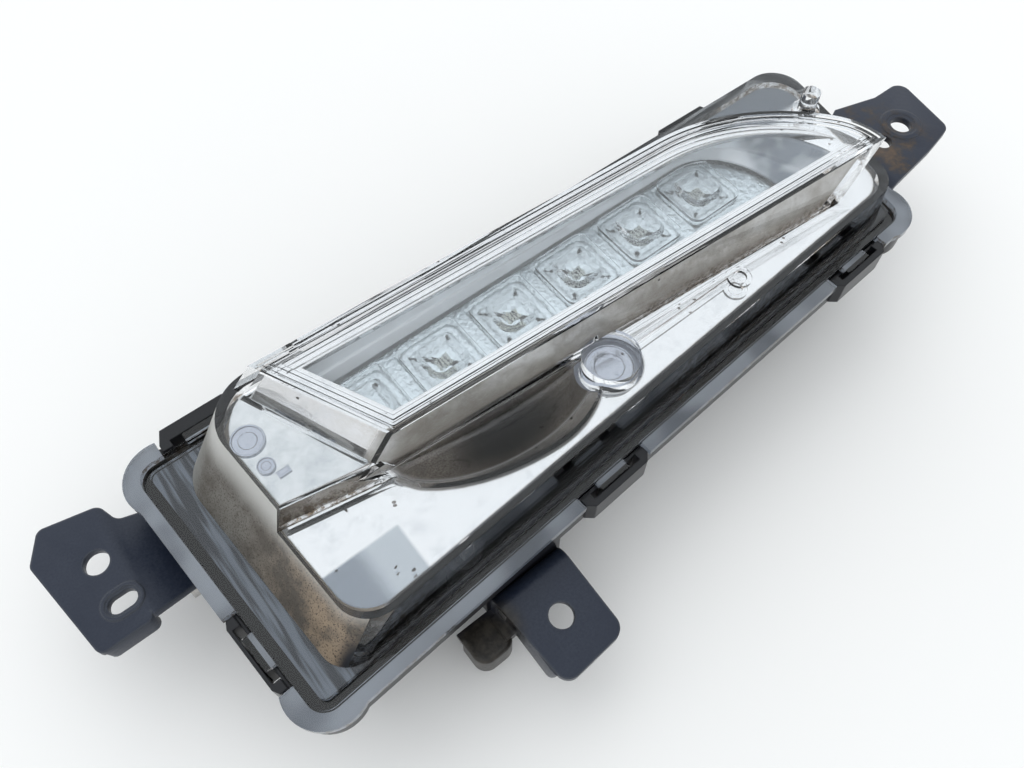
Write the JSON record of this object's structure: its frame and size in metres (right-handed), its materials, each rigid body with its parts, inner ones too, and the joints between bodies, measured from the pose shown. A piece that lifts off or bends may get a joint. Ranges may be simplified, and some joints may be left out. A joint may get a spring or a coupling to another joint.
{
  "type": "daytime running light",
  "caption": "Vehicle daytime running light with a clear stepped lens over a slanted window of lights, bright bezel, black rear housing and steel mounting brackets.",
  "frame": {"origin": "on the flat back of the housing, below the middle of the lens flange", "axes": "+X along the lamp towards the pointed end of the window, +Y across it towards the long straight side, +Z out of the lens"},
  "size_m": [0.3154, 0.1174, 0.07],
  "materials": {
    "clear_lens": "clear moulded plastic",
    "clear_optic": "clear moulded plastic",
    "bright_film": "bright metal film on plastic",
    "black_plastic": "fine moulded grain",
    "seal_rubber": "matt",
    "board_white": "solder mask",
    "led_yellow": "phosphor under clear resin",
    "pad_grey": "matt",
    "sink_metal": "pressed",
    "screw_steel": "zinc plated",
    "black_steel": "black dip coat, worn",
    "contact_brass": "tinned",
    "wire_orange": "wire covering"
  },
  "bodies": {
    "root": {"front_lens": "clear_lens", "rear_housing": "black_plastic", "lens_seal": "seal_rubber", "chrome_bezel": "bright_film", "window_frame": "bright_film", "inner_optic": "clear_optic", "reflector_tray": "bright_film", "led_board": "board_white", "led_chips": "led_yellow", "thermal_pad": "pad_grey", "heat_sink": "sink_metal", "board_screws": "screw_steel", "bezel_screws": "screw_steel", "connector_seal": "seal_rubber", "connector_socket": "black_plastic", "connector_pins": "contact_brass", "board_header": "board_white", "lead_wires": "wire_orange", "breather_cap": "seal_rubber", "left_bracket": "black_steel", "right_bracket": "black_steel", "lower_bracket": "black_steel", "bracket_screws": "screw_steel"}
  },
  "joints": []
}
